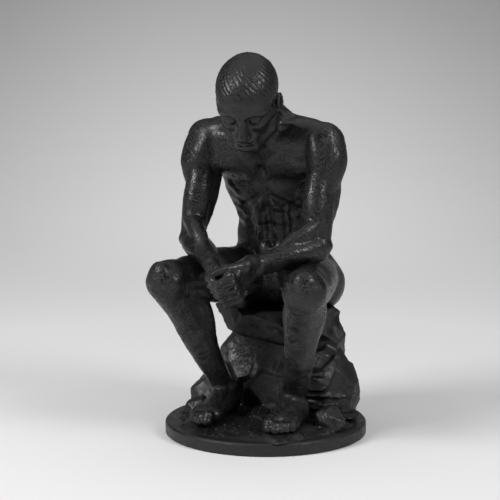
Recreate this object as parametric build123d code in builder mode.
from build123d import *
from math import cos, pi, sin, sqrt
import os

# Seated figure in thought on a rock, on a round base disc: castings, joint dowels and fixings.
# Millimetres, +Z up, the figure faces -Y, and the origin is the centre of the felt's underside.

# Base disc and felt pad
base_diameter = 134.0
base_thickness = 8.0
rim_chamfer = 1.2
felt_thickness = 1.4
felt_stand = 0.6
felt_margin = 4.0

# Ground layer and rock
ground_thickness = 4.0
ground_margin = 4.0
rock_height = 67.0
rock_slab = 12.0
rock_wall = 7.0
rock_width = 92.0
rock_depth = 52.0
rock_shift = 4.0
rock_setback = 34.0
seat_width = 74.0
seat_depth = 50.0
rock_core_inset = 6.0
boss_inset = 7.0
boulder_faces = 16

# Hips and legs: the hip is placed from the seat, the knee from the hip, the ankle from the ground
hip_rise = 22.0
hip_spacing = 36.0
hip_setback = 34.0
knee_splay = 28.0
thigh_reach = 84.0
thigh_rise = 6.0
thigh_root_diameter = 41.0
thigh_middle_diameter = 39.0
thigh_end_diameter = 32.0
knee_diameter = 28.0
shin_root_diameter = 25.0
calf_diameter = 27.0
shin_end_diameter = 18.0
ankle_diameter = 14.5
ankle_spacing = 50.0
ankle_reach = 12.0
ankle_rise = 14.0
foot_stagger = 4.0
foot_length = 57.0
heel_length = 14.0
foot_width = 22.0
instep_height = 18.0
toe_out = 4.0

# Trunk: the neck base is placed from the hips, the shoulders from the neck base
trunk_rise = 107.0
trunk_lean = 42.0
back_bow = 9.0
seat_print_width = 68.0
seat_print_depth = 46.0
hip_width = 75.0
hip_depth = 50.0
waist_width = 60.0
waist_depth = 42.0
rib_width = 70.0
rib_depth = 47.0
chest_width = 78.0
chest_depth = 46.0
yoke_width = 62.0
yoke_depth = 32.0
neck_diameter = 25.0
neck_joint_rise = 5.0
shoulder_bar_diameter = 27.0
collar_diameter = 16.0

# Arms: the elbow rests on the thigh, the wrist is placed from the knee and hangs below the elbow
shoulder_spacing = 82.0
shoulder_drop = 13.0
shoulder_setback = 6.0
shoulder_diameter = 31.0
biceps_diameter = 24.0
elbow_diameter = 18.0
forearm_root_diameter = 15.5
forearm_diameter = 19.0
forearm_end_diameter = 13.0
wrist_diameter = 12.0
elbow_splay = 8.0
wrist_spacing = 26.0
wrist_reach = 6.0
wrist_drop = 9.0
rest_gap = 0.6

# Clasped hands
palm_length = 17.0
palm_width = 19.0
palm_depth = 8.0
hand_droop = 42.0
finger_diameter = 3.9
fingertip_diameter = 3.3
finger_count = 4
finger_pitch = 3.0
finger_reach = 7.5
finger_return = 15.0
thumb_diameter = 4.6

# Head
head_forward = 23.0
head_rise = 10.5
head_tilt = 32.0
head_turn = 10.0
head_width = 39.0
head_depth = 47.5
head_height = 53.5
nose_length = 13.0
nose_height = 7.5
nose_root_diameter = 4.0
nose_tip_diameter = 6.5
ear_length = 12.0
ear_width = 4.5
brow_diameter = 5.0
cheek_diameter = 6.8
jaw_diameter = 8.4
lip_diameter = 4.0
chin_diameter = 8.6
eye_diameter = 7.6

# Dowels, stud and fixings
dowel_clearance = 0.05
dowel_end_gap = 0.4
neck_dowel_diameter = 5.0
neck_dowel_length = 26.0
shoulder_dowel_diameter = 5.0
shoulder_dowel_length = 24.0
hip_dowel_diameter = 6.0
hip_dowel_length = 36.0
wrist_dowel_diameter = 3.0
wrist_dowel_length = 16.0
foot_dowel_diameter = 3.0
foot_dowel_rise = 9.0
foot_dowel_sink = 4.0
stud_diameter = 6.0
stud_clearance = 0.4
stud_rise = 26.0
stud_overhang = 3.0
nut_flat = 10.0
nut_height = 5.0
washer_diameter = 14.0
washer_thickness = 1.6
screw_diameter = 4.0
screw_tip_gap = 0.5
screw_head_diameter = 7.5
screw_head_height = 2.6
screw_clearance = 0.3
screw_washer_diameter = 9.0
screw_washer_thickness = 0.8
counterbore_depth = 4.6
insert_diameter = 5.6
insert_length = 9.0
boss_diameter = 14.0
boss_height = 15.0

# Shares, chosen by eye: outlines round the rock, places along limbs and along the trunk
ground_shares = (0.96, 0.88, 0.97, 0.92, 1.0, 0.9, 0.95, 0.86, 0.98, 0.94, 1.0, 0.91)
rock_outline_shares = {
    "foot": (1.0, 0.94, 1.0, 0.92, 0.98, 0.96, 0.93, 0.97, 0.95, 1.0),
    "belly": (0.95, 1.02, 0.94, 1.0, 0.93, 1.02, 0.96, 0.9, 0.92, 1.03),
    "brow": (1.03, 0.95, 1.0, 0.96, 1.04, 0.94, 1.02, 0.97, 0.96, 1.0),
    "seat": (0.95, 1.0, 0.94, 1.0, 0.96, 1.0, 0.93, 0.98, 1.0, 0.95),
}
belly_height_share = 0.4
# A boulder's place across and along the base, its level, its width, depth and height, its turn and its phase
boulder_shares = (
    (0.01, 0.51, 0.41, 0.53, 0.33, 0.87, 0.02, 0.16),
    (0.0, 0.52, 0.89, 0.53, 0.35, 0.31, -0.01, 0.32),
    (-0.34, 0.46, 0.25, 0.29, 0.3, 0.45, 0.1, 0.48),
    (0.36, 0.43, 0.26, 0.29, 0.28, 0.48, -0.06, 0.64),
    (0.07, 0.29, 0.19, 0.3, 0.17, 0.37, 0.04, 0.8),
    (0.06, 0.66, 0.19, 0.38, 0.17, 0.37, -0.02, 0.95),
    (0.58, 0.28, 0.19, 0.25, 0.22, 0.45, 0.07, 0.11),
    (-0.6, 0.26, 0.12, 0.22, 0.21, 0.34, -0.08, 0.27),
    (0.73, -0.17, 0.05, 0.13, 0.12, 0.17, 0.11, 0.43),
    (-0.73, -0.06, 0.03, 0.13, 0.12, 0.15, 0.03, 0.59),
    (0.0, -0.1, 0.02, 0.11, 0.19, 0.11, 0.06, 0.75),
)
face_depth_share = 0.8
face_swing_share = 0.12
face_phase_share = 0.65
boss_corner_shares = (0.1, 0.4, 0.8)
limb_shares = (0.0, 0.36, 0.72, 1.0)
shin_shares = (0.0, 0.28, 0.72, 1.0)
elbow_seat_share = 0.64
hip_joint_share = 0.3
shoulder_joint_share = 0.84
shoulder_root_share = 0.62
neck_side_share = 0.94
trunk_station_shares = ((0.27, 0.75), (0.53, 1.0), (0.77, 0.8), (0.93, 0.35))
# Half outlines of the trunk, from the middle of the front round one side to the furrow of the spine
outline_turn_shares = (0.0, 0.12, 0.25, 0.37, 0.5, 0.63, 0.77, 0.91, 1.0)
round_shares = (1.0, 1.0, 1.0, 1.0, 1.0, 1.0, 1.0, 1.0, 1.0)
seat_shares = (0.7, 0.71, 0.75, 0.82, 0.93, 1.05, 1.14, 1.03, 0.72)
hip_shares = (0.97, 0.96, 0.94, 0.94, 0.97, 1.09, 1.22, 1.1, 0.84)
waist_shares = (0.91, 0.97, 1.01, 1.01, 0.98, 1.01, 1.05, 1.05, 0.81)
rib_shares = (0.87, 0.92, 0.96, 0.99, 1.04, 1.07, 1.02, 1.01, 0.82)
chest_shares = (0.84, 0.98, 1.12, 1.1, 1.04, 1.03, 1.08, 1.0, 0.76)
foot_station_shares = (
    (0.0, 0.34, 0.5),
    (0.1, 0.62, 0.86),
    (0.34, 0.72, 1.0),
    (0.72, 1.0, 0.62),
    (0.92, 0.92, 0.42),
    (1.0, 0.5, 0.34),
)
head_station_shares = (
    (0.0, 0.32, 0.22, 0.3),
    (0.1, 0.5, 0.44, 0.22),
    (0.24, 0.66, 0.64, 0.1),
    (0.4, 0.84, 0.84, 0.01),
    (0.58, 0.97, 0.95, -0.03),
    (0.74, 1.0, 0.96, -0.07),
    (0.88, 0.77, 0.75, -0.07),
    (0.97, 0.44, 0.43, -0.07),
    (1.0, 0.16, 0.15, -0.07),
)
# The face's main forms, each from one place to another: across, front and height on the head
brow_shares = ((0.06, 0.41, 0.52), (0.33, 0.3, 0.54))
cheek_shares = ((0.38, 0.09, 0.4), (0.23, 0.33, 0.36))
jaw_shares = ((0.33, 0.07, 0.16), (0.11, 0.33, 0.06))
lip_shares = ((0.02, 0.41, 0.18), (0.12, 0.37, 0.175))
chin_shares = ((0.02, 0.35, 0.08), (0.08, 0.34, 0.08))
eye_shares = ((0.17, 0.34, 0.46), (0.2, 0.33, 0.46))
head_pivot_share = 0.42
nose_level_share = 0.53
ear_level_share = 0.54
ear_top_share = 1.3
palm_middle_share = 0.6
thumb_root_share = 0.36
thumb_rise_share = 0.25
thumb_reach_share = 0.55

LEFT = 1
RIGHT = -1
SIDES = {"left": LEFT, "right": RIGHT}
parts_folder = "parts"

# Heights of the stacked pieces
base_top = felt_stand + base_thickness
ground_top = base_top + ground_thickness
seat_top = ground_top + rock_height
slab_bottom = seat_top - rock_slab
rock_levels = {
    "foot": base_top,
    "belly": ground_top + rock_height * belly_height_share,
    "brow": slab_bottom,
    "seat": seat_top,
}
felt_recess = felt_thickness - felt_stand
felt_diameter = base_diameter - 2 * felt_margin

# Joint centres of the figure
hip_centre = Vector(0, hip_setback, seat_top + hip_rise)
neck_base = hip_centre + Vector(0, -trunk_lean, trunk_rise)
trunk_direction = (neck_base - hip_centre).normalized()
neck_direction = Vector(0, -head_forward, head_rise).normalized()
head_centre = neck_base + Vector(0, -head_forward, head_rise)


def hip_of(side):
    return hip_centre + Vector(side * hip_spacing / 2, 0, 0)


def knee_of(side):
    return hip_of(side) + Vector(side * knee_splay, -thigh_reach, thigh_rise)


def ankle_of(side):
    forward = ankle_reach + side * foot_stagger / 2
    return Vector(side * ankle_spacing / 2, -forward, ground_top + ankle_rise)


def shoulder_of(side):
    return neck_base + Vector(side * shoulder_spacing / 2, shoulder_setback, -shoulder_drop)


def elbow_of(side):
    """The elbow lies on the thigh, a rest gap above it, and out to the side."""
    thigh_point = between(hip_of(side), knee_of(side), elbow_seat_share)
    apart = (thigh_end_diameter + elbow_diameter) / 2 + rest_gap
    rise = sqrt(apart**2 - elbow_splay**2)
    return thigh_point + Vector(side * elbow_splay, 0, rise)


def wrist_of(side):
    return Vector(side * wrist_spacing / 2, knee_of(side).Y - wrist_reach, elbow_of(side).Z - wrist_drop)


def between(start, end, share):
    return start + (end - start) * share


def joint_plane(centre, direction):
    """A plane square to a limb, with its X axis level."""
    level = Vector(0, 0, 1).cross(direction)
    return Plane(origin=centre, x_dir=level, z_dir=direction)


def round_limb(start, end, shares, diameters):
    """Revolve a smooth limb with rounded ends: its diameter is given at shares of its length."""
    length = (end - start).length
    direction = (end - start).normalized()
    side = Vector(0, 0, 1).cross(direction)
    first, *middle, last = [(share * length, diameter / 2) for share, diameter in zip(shares, diameters)]
    with BuildSketch(Plane(origin=start, x_dir=direction, z_dir=side)) as profile:
        with BuildLine():
            CenterArc((first[0], 0), first[1], 90, 90)
            Spline(first, *middle, last) if middle else Line(first, last)
            CenterArc((last[0], 0), last[1], 0, 90)
            Line((last[0] + last[1], 0), (first[0] - first[1], 0))
        make_face()
    revolve(profile.sketch, axis=Axis(start, direction))


def cross_section(plane, width, depth):
    with BuildSketch(plane) as section:
        Ellipse(width / 2, depth / 2)
    return section.sketch


def body_section(plane, width, depth, shares):
    """A smooth closed outline, alike on both sides: an ellipse scaled by one share for each turn."""
    half = []
    for turn_share, share in zip(outline_turn_shares, shares):
        across = width / 2 * share * sin(pi * turn_share)
        along = depth / 2 * share * cos(pi * turn_share)
        half.append((across, -along))
    other_half = [(-across, along) for across, along in half[-2:0:-1]]
    with BuildSketch(plane) as section:
        with BuildLine():
            Spline(*half, *other_half, periodic=True)
        make_face()
    return section.sketch


def round_bar(plane, diameter, length, mode=Mode.ADD):
    """A dowel, or the hole for one, centred on a joint's plane."""
    with BuildSketch(plane) as section:
        Circle(diameter / 2)
    extrude(section.sketch, amount=length / 2, both=True, mode=mode)


def dowel_hole(plane, diameter, length):
    round_bar(plane, diameter + 2 * dowel_clearance, length + dowel_end_gap, Mode.SUBTRACT)


def ring_points(centre, width, depth, shares, inset=0):
    """Corners of an uneven outline: an ellipse whose radius is scaled by one share for each corner."""
    points = []
    for number, share in enumerate(shares):
        angle = 2 * pi * number / len(shares)
        across = (width * share / 2 - inset) * cos(angle)
        along = (depth * share / 2 - inset) * sin(angle)
        points.append((centre.X + across, centre.Y + along))
    return points


def outline_face(height, points):
    with BuildSketch(Plane.XY.offset(height)) as outline:
        with BuildLine():
            Polyline(*points, close=True)
        make_face()
    return outline.sketch


def rock_corners(level, inset=0):
    """The rock's outline at one of its levels, between the sizes of its foot and its seat."""
    foot_centre = Vector(rock_shift, rock_setback)
    seat_centre = Vector(0, hip_setback)
    rise_share = (rock_levels[level] - base_top) / (seat_top - base_top)
    width = rock_width + (seat_width - rock_width) * rise_share
    depth = rock_depth + (seat_depth - rock_depth) * rise_share
    centre = between(foot_centre, seat_centre, rise_share)
    return ring_points(centre, width, depth, rock_outline_shares[level], inset)


def add_boulder(across_share, along_share, level_share, wide_share, deep_share, high_share, turn_share, phase_share):
    """A chipped stone: flat faces spread evenly round a block, each at its own share of the block's radii."""
    full_height = seat_top - base_top
    centre = Vector(across_share * base_radius, along_share * base_radius, base_top + level_share * full_height)
    wide, deep, high = wide_share * rock_width, deep_share * rock_width, high_share * full_height
    turn = 2 * pi * turn_share
    phase = 2 * pi * phase_share
    frame = Plane(origin=centre, x_dir=(cos(turn), sin(turn), 0), z_dir=(0, 0, 1))
    with BuildPart(frame, mode=Mode.PRIVATE) as block:
        Box(2 * wide, 2 * deep, 2 * high)
        for number in range(boulder_faces):
            rise = 1 - (2 * number + 1) / boulder_faces
            ring = sqrt(1 - rise**2)
            angle = phase + number * golden_turn
            share = face_depth_share + face_swing_share * sin(phase + 2 * pi * face_phase_share * number)
            normal = Vector(ring * cos(angle) / wide, ring * sin(angle) / deep, rise / high)
            foot = frame.from_local_coords(normal * (share / normal.length**2))
            outward = frame.from_local_coords(normal) - centre
            split(bisect_by=Plane(origin=foot, z_dir=outward), keep=Keep.BOTTOM)
        split(bisect_by=Plane.XY.offset(base_top), keep=Keep.TOP)
        split(bisect_by=Plane.XY.offset(seat_top), keep=Keep.BOTTOM)
    add(block.part)


def finish_piece(piece, name):
    """Name a finished piece and write it as its own STEP file."""
    piece.label = name
    export_step(piece, os.path.join(parts_folder, name + ".step"))


os.makedirs(parts_folder, exist_ok=True)
base_radius = base_diameter / 2
golden_turn = pi * (3 - sqrt(5))
boss_corners = rock_corners("foot", boss_inset)
boss_points = [boss_corners[round(share * len(boss_corners))] for share in boss_corner_shares]
neck_plane = joint_plane(neck_base + neck_direction * neck_joint_rise, neck_direction)
hip_planes = {
    side: joint_plane(between(hip_of(side), knee_of(side), hip_joint_share), knee_of(side) - hip_of(side))
    for side in SIDES.values()
}
shoulder_planes = {
    side: Plane(
        origin=Vector(shoulder_of(side).X * shoulder_joint_share, shoulder_of(side).Y, shoulder_of(side).Z),
        x_dir=(0, 1, 0),
        z_dir=(side, 0, 0),
    )
    for side in SIDES.values()
}
wrist_planes = {
    side: joint_plane(wrist_of(side), wrist_of(side) - elbow_of(side))
    for side in SIDES.values()
}
foot_dowel_length = foot_dowel_rise + ground_thickness + foot_dowel_sink
foot_dowel_middle = ground_top + foot_dowel_rise - foot_dowel_length / 2
foot_dowel_planes = {
    side: Plane(origin=(ankle_of(side).X, ankle_of(side).Y, foot_dowel_middle)) for side in SIDES.values()
}

# Felt pad, let into the underside of the disc
with BuildPart() as felt_pad:
    with BuildSketch():
        Circle(felt_diameter / 2)
    extrude(amount=felt_thickness)
finish_piece(felt_pad.part, "felt_pad")

# Base disc with its felt recess, counterbored screw holes and the sockets of the foot dowels
with BuildPart() as base_disc:
    with BuildSketch(Plane.XY.offset(felt_stand)):
        Circle(base_radius)
    extrude(amount=base_thickness)
    chamfer(base_disc.edges().group_by(Axis.Z)[-1], rim_chamfer)
    with BuildSketch(Plane.XY.offset(felt_stand)):
        Circle(felt_diameter / 2 + dowel_clearance)
    extrude(amount=felt_recess, mode=Mode.SUBTRACT)
    with BuildSketch(Plane.XY.offset(felt_thickness)):
        with Locations(*boss_points):
            Circle(screw_washer_diameter / 2 + screw_clearance)
    extrude(amount=counterbore_depth, mode=Mode.SUBTRACT)
    with BuildSketch(Plane.XY.offset(felt_thickness)):
        with Locations(*boss_points):
            Circle(screw_diameter / 2 + screw_clearance)
    extrude(until=Until.LAST, mode=Mode.SUBTRACT)
    for plane in foot_dowel_planes.values():
        dowel_hole(plane, foot_dowel_diameter, foot_dowel_length)
finish_piece(base_disc.part, "base_disc")

# Trunk from the seat to the neck, one smooth loft along a bowed back, before its holes
with BuildPart() as trunk_blank:
    seat_plane = Plane(origin=(0, hip_setback, seat_top))
    stations = [
        body_section(seat_plane, seat_print_width, seat_print_depth, seat_shares),
        body_section(Plane(origin=hip_centre), hip_width, hip_depth, hip_shares),
    ]
    trunk_outlines = (
        (waist_width, waist_depth, waist_shares),
        (rib_width, rib_depth, rib_shares),
        (chest_width, chest_depth, chest_shares),
        (yoke_width, yoke_depth, round_shares),
    )
    back_direction = Vector(1, 0, 0).cross(trunk_direction) * -1
    for (rise_share, bow_share), outline in zip(trunk_station_shares, trunk_outlines):
        centre = between(hip_centre, neck_base, rise_share) + back_direction * back_bow * bow_share
        tilt = between(Vector(0, 0, 1), trunk_direction, rise_share)
        stations.append(body_section(Plane(origin=centre, x_dir=(1, 0, 0), z_dir=tilt), *outline))
    neck_end = neck_plane.offset(collar_diameter / 2)
    stations.append(body_section(neck_end, neck_diameter, neck_diameter, round_shares))
    loft(stations)
    for side in SIDES.values():
        shoulder = shoulder_of(side)
        shoulder_root = Vector(shoulder.X * shoulder_root_share, shoulder.Y, shoulder.Z)
        neck_side = neck_base - neck_direction * collar_diameter / 2
        shoulder_middle = Vector(0, shoulder.Y, shoulder.Z)
        round_limb(shoulder_middle, shoulder_root, (0, 1), (neck_diameter, shoulder_bar_diameter))
        round_limb(neck_side, shoulder_root, (0, 1), (neck_diameter * neck_side_share, collar_diameter))
    split(bisect_by=neck_plane, keep=Keep.BOTTOM)

# Torso casting: the trunk with its dowel holes and the blind hole of the seat stud
with BuildPart() as torso:
    add(trunk_blank.part)
    dowel_hole(neck_plane, neck_dowel_diameter, neck_dowel_length)
    for side in SIDES.values():
        dowel_hole(hip_planes[side], hip_dowel_diameter, hip_dowel_length)
        dowel_hole(shoulder_planes[side], shoulder_dowel_diameter, shoulder_dowel_length)
    with BuildSketch(Plane(origin=(0, hip_setback, seat_top))):
        Circle(stud_diameter / 2 + dowel_clearance)
    extrude(amount=stud_rise + dowel_end_gap, mode=Mode.SUBTRACT)
finish_piece(torso.part, "torso")

# Legs: thigh, shin and a foot that is flat on the ground, coped to the trunk at the hip
legs = {}
for side_name, side in SIDES.items():
    ankle = ankle_of(side)
    heel = Vector(ankle.X, ankle.Y + heel_length, ground_top)
    toe = heel + Vector(side * toe_out, -foot_length, 0)
    with BuildPart() as leg:
        thigh_diameters = (thigh_root_diameter, thigh_middle_diameter, thigh_end_diameter, knee_diameter)
        shin_diameters = (shin_root_diameter, calf_diameter, shin_end_diameter, ankle_diameter)
        round_limb(hip_of(side), knee_of(side), limb_shares, thigh_diameters)
        round_limb(knee_of(side), ankle, shin_shares, shin_diameters)
        stations = []
        for along_share, width_share, height_share in foot_station_shares:
            plane = joint_plane(between(heel, toe, along_share), toe - heel)
            width = foot_width * width_share
            stations.append(cross_section(plane, width, 2 * instep_height * height_share))
        loft(stations)
        split(bisect_by=Plane.XY.offset(ground_top), keep=Keep.TOP)
        split(bisect_by=Plane.YZ, keep=Keep.TOP if side == LEFT else Keep.BOTTOM)
        add(trunk_blank.part, mode=Mode.SUBTRACT)
        dowel_hole(hip_planes[side], hip_dowel_diameter, hip_dowel_length)
        dowel_hole(foot_dowel_planes[side], foot_dowel_diameter, foot_dowel_length)
    legs[side] = leg.part
    finish_piece(leg.part, side_name + "_leg")

# Arms: upper arm and forearm to the wrist joint, coped to the trunk at the shoulder
for side_name, side in SIDES.items():
    with BuildPart() as arm:
        upper_diameters = (shoulder_diameter, biceps_diameter, biceps_diameter, elbow_diameter)
        lower_diameters = (forearm_root_diameter, forearm_diameter, forearm_end_diameter, wrist_diameter)
        round_limb(shoulder_of(side), elbow_of(side), limb_shares, upper_diameters)
        round_limb(elbow_of(side), wrist_of(side), shin_shares, lower_diameters)
        split(bisect_by=wrist_planes[side], keep=Keep.BOTTOM)
        add(trunk_blank.part, mode=Mode.SUBTRACT)
        add(legs[side], mode=Mode.SUBTRACT)
        dowel_hole(shoulder_planes[side], shoulder_dowel_diameter, shoulder_dowel_length)
        dowel_hole(wrist_planes[side], wrist_dowel_diameter, wrist_dowel_length)
    finish_piece(arm.part, side_name + "_arm")

# Clasped hands: palms together, fingers of the two hands laced in turn, thumbs crossed on top
hand_direction = Vector(0, -1, 0).rotate(Axis.X, hand_droop)
hand_up = Vector(0, 0, 1).rotate(Axis.X, hand_droop)
middle_finger = (finger_count - 1) / 2
with BuildPart() as clasped_hands:
    for side in SIDES.values():
        wrist = wrist_of(side)
        across = Vector(side, 0, 0)
        knuckle = Vector(0, wrist.Y, wrist.Z) + across * palm_depth / 2 + hand_direction * palm_length
        palm_plane = joint_plane(between(wrist, knuckle, palm_middle_share), knuckle - wrist)
        stations = [
            cross_section(wrist_planes[side], wrist_diameter, wrist_diameter),
            cross_section(palm_plane, palm_depth, palm_width),
            cross_section(joint_plane(knuckle, hand_direction), palm_depth, palm_width),
        ]
        loft(stations)
        for number in range(finger_count):
            level = hand_up * (2 * (middle_finger - number) + side / 2) * finger_pitch
            root = knuckle + level
            bend = root - across * (palm_depth + finger_reach) / 2 + hand_direction * finger_reach
            tip = bend - across * finger_diameter / 2 - hand_direction * finger_return
            round_limb(root, bend, (0, 1), (finger_diameter, finger_diameter))
            round_limb(bend, tip, (0, 1), (fingertip_diameter, fingertip_diameter))
        thumb_root = between(wrist, knuckle, thumb_root_share) + hand_up * palm_width * thumb_rise_share
        thumb_tip = knuckle - across * palm_depth + hand_up * palm_width * thumb_reach_share
        round_limb(thumb_root, thumb_tip, (0, 1), (thumb_diameter, thumb_diameter))
    for side in SIDES.values():
        dowel_hole(wrist_planes[side], wrist_dowel_diameter, wrist_dowel_length)
finish_piece(clasped_hands.part, "clasped_hands")

# Head with its neck, ears and nose, bowed and turned on the neck joint
head_up = Vector(0, 0, 1).rotate(Axis.X, head_tilt)
head_front = Vector(0, -1, 0).rotate(Axis.X, head_tilt)
head_up = head_up.rotate(Axis.Z, head_turn)
head_front = head_front.rotate(Axis.Z, head_turn)
head_side = head_front.cross(head_up)
chin = head_centre - head_up * head_height * head_pivot_share
face_forms = (
    (brow_shares, brow_diameter),
    (cheek_shares, cheek_diameter),
    (jaw_shares, jaw_diameter),
    (lip_shares, lip_diameter),
    (chin_shares, chin_diameter),
    (eye_shares, eye_diameter),
)


def head_place(side, across_share, front_share, height_share):
    across = head_side * side * head_width * across_share
    return chin + across + head_front * head_depth * front_share + head_up * head_height * height_share


with BuildPart() as head:
    stations = []
    for level_share, width_share, depth_share, forward_share in head_station_shares:
        centre = chin + head_up * head_height * level_share + head_front * head_depth * forward_share
        plane = Plane(origin=centre, x_dir=head_side, z_dir=head_up)
        stations.append(cross_section(plane, head_width * width_share, head_depth * depth_share))
    loft(stations)
    neck_root = neck_base - neck_direction * neck_diameter
    round_limb(neck_root, head_centre, (0, 1), (neck_diameter, neck_diameter))
    face_front = chin + head_front * (head_depth - nose_tip_diameter) / 2
    nose_root = face_front + head_up * head_height * nose_level_share
    nose_tip = nose_root - head_up * nose_length + head_front * (nose_height - nose_tip_diameter / 2)
    round_limb(nose_root, nose_tip, (0, 1), (nose_root_diameter, nose_tip_diameter))
    for side in SIDES.values():
        ear_level = chin + head_up * head_height * ear_level_share - head_front * ear_width
        ear_top = ear_level + head_side * side * (head_width - ear_width) / 2
        ear_lobe = ear_top - head_up * ear_length + head_front * ear_width / 2
        round_limb(ear_top, ear_lobe, (0, 1), (ear_width * ear_top_share, ear_width))
        for place_shares, diameter in face_forms:
            start, end = (head_place(side, *shares) for shares in place_shares)
            round_limb(start, end, (0, 1), (diameter, diameter))
    split(bisect_by=neck_plane, keep=Keep.TOP)
    dowel_hole(neck_plane, neck_dowel_diameter, neck_dowel_length)
finish_piece(head.part, "head")

# Hollow rock with its ground layer, stones, screw bosses and the clearance hole of the seat stud
with BuildPart() as rock_seat:
    core = [outline_face(height, rock_corners(level, rock_core_inset)) for level, height in rock_levels.items()]
    loft(core, ruled=True)
    ground_points = ring_points(Vector(), base_diameter, base_diameter, ground_shares, ground_margin)
    extrude(outline_face(base_top, ground_points), amount=ground_thickness)
    for shares in boulder_shares:
        add_boulder(*shares)
    hollow_levels = ("foot", "belly", "brow")
    hollow_inset = rock_core_inset + rock_wall
    hollow = [outline_face(rock_levels[level], rock_corners(level, hollow_inset)) for level in hollow_levels]
    loft(hollow, ruled=True, mode=Mode.SUBTRACT)
    with BuildSketch(Plane.XY.offset(base_top)):
        with Locations(*boss_points):
            Circle(boss_diameter / 2)
    extrude(amount=boss_height)
    with BuildSketch(Plane.XY.offset(base_top)):
        with Locations(*boss_points):
            Circle(insert_diameter / 2 + dowel_clearance)
    extrude(amount=insert_length + dowel_end_gap, mode=Mode.SUBTRACT)
    with BuildSketch(Plane(origin=(0, hip_setback, slab_bottom))):
        Circle(stud_diameter / 2 + stud_clearance)
    extrude(until=Until.LAST, mode=Mode.SUBTRACT)
    for plane in foot_dowel_planes.values():
        dowel_hole(plane, foot_dowel_diameter, foot_dowel_length)
finish_piece(rock_seat.part, "rock_seat")

# Dowels in the glued joints
dowels = {"neck_dowel": (neck_plane, neck_dowel_diameter, neck_dowel_length)}
for side_name, side in SIDES.items():
    shoulder_plane = shoulder_planes[side]
    dowels[side_name + "_shoulder_dowel"] = (shoulder_plane, shoulder_dowel_diameter, shoulder_dowel_length)
    dowels[side_name + "_hip_dowel"] = (hip_planes[side], hip_dowel_diameter, hip_dowel_length)
    dowels[side_name + "_wrist_dowel"] = (wrist_planes[side], wrist_dowel_diameter, wrist_dowel_length)
    dowels[side_name + "_foot_dowel"] = (foot_dowel_planes[side], foot_dowel_diameter, foot_dowel_length)
for name, (plane, diameter, length) in dowels.items():
    with BuildPart() as dowel:
        round_bar(plane, diameter, length)
    finish_piece(dowel.part, name)

# Seat stud, bonded into the trunk, with its washer and nut under the rock's slab
washer_bottom = slab_bottom - washer_thickness
nut_bottom = washer_bottom - nut_height
with BuildPart() as seat_stud:
    with BuildSketch(Plane(origin=(0, hip_setback, nut_bottom - stud_overhang))):
        Circle(stud_diameter / 2)
    extrude(amount=seat_top + stud_rise - nut_bottom + stud_overhang)
finish_piece(seat_stud.part, "seat_stud")
with BuildPart() as seat_washer:
    with BuildSketch(Plane(origin=(0, hip_setback, washer_bottom))):
        Circle(washer_diameter / 2)
        Circle(stud_diameter / 2 + stud_clearance, mode=Mode.SUBTRACT)
    extrude(amount=washer_thickness)
finish_piece(seat_washer.part, "seat_washer")
with BuildPart() as seat_nut:
    with BuildSketch(Plane(origin=(0, hip_setback, nut_bottom))):
        RegularPolygon(nut_flat / 2, 6, major_radius=False)
        Circle(stud_diameter / 2 + dowel_clearance, mode=Mode.SUBTRACT)
    extrude(amount=nut_height)
finish_piece(seat_nut.part, "seat_nut")

# Base screws with their washers, and the threaded inserts they hold in the rock's bosses
screw_seat = felt_thickness + counterbore_depth
washer_seat = screw_seat - screw_washer_thickness
with BuildPart() as base_screws:
    with BuildSketch(Plane.XY.offset(washer_seat - screw_head_height)):
        with Locations(*boss_points):
            Circle(screw_head_diameter / 2)
    extrude(amount=screw_head_height)
    with BuildSketch(Plane.XY.offset(washer_seat)):
        with Locations(*boss_points):
            Circle(screw_diameter / 2)
    extrude(amount=base_top + insert_length - screw_tip_gap - washer_seat)
finish_piece(base_screws.part, "base_screws")
with BuildPart() as base_screw_washers:
    with BuildSketch(Plane.XY.offset(washer_seat)):
        with Locations(*boss_points):
            Circle(screw_washer_diameter / 2)
            Circle(screw_diameter / 2 + screw_clearance, mode=Mode.SUBTRACT)
    extrude(amount=screw_washer_thickness)
finish_piece(base_screw_washers.part, "base_screw_washers")
with BuildPart() as rock_inserts:
    with BuildSketch(Plane.XY.offset(base_top)):
        with Locations(*boss_points):
            Circle(insert_diameter / 2)
            Circle(screw_diameter / 2 + dowel_clearance, mode=Mode.SUBTRACT)
    extrude(amount=insert_length)
finish_piece(rock_inserts.part, "rock_inserts")
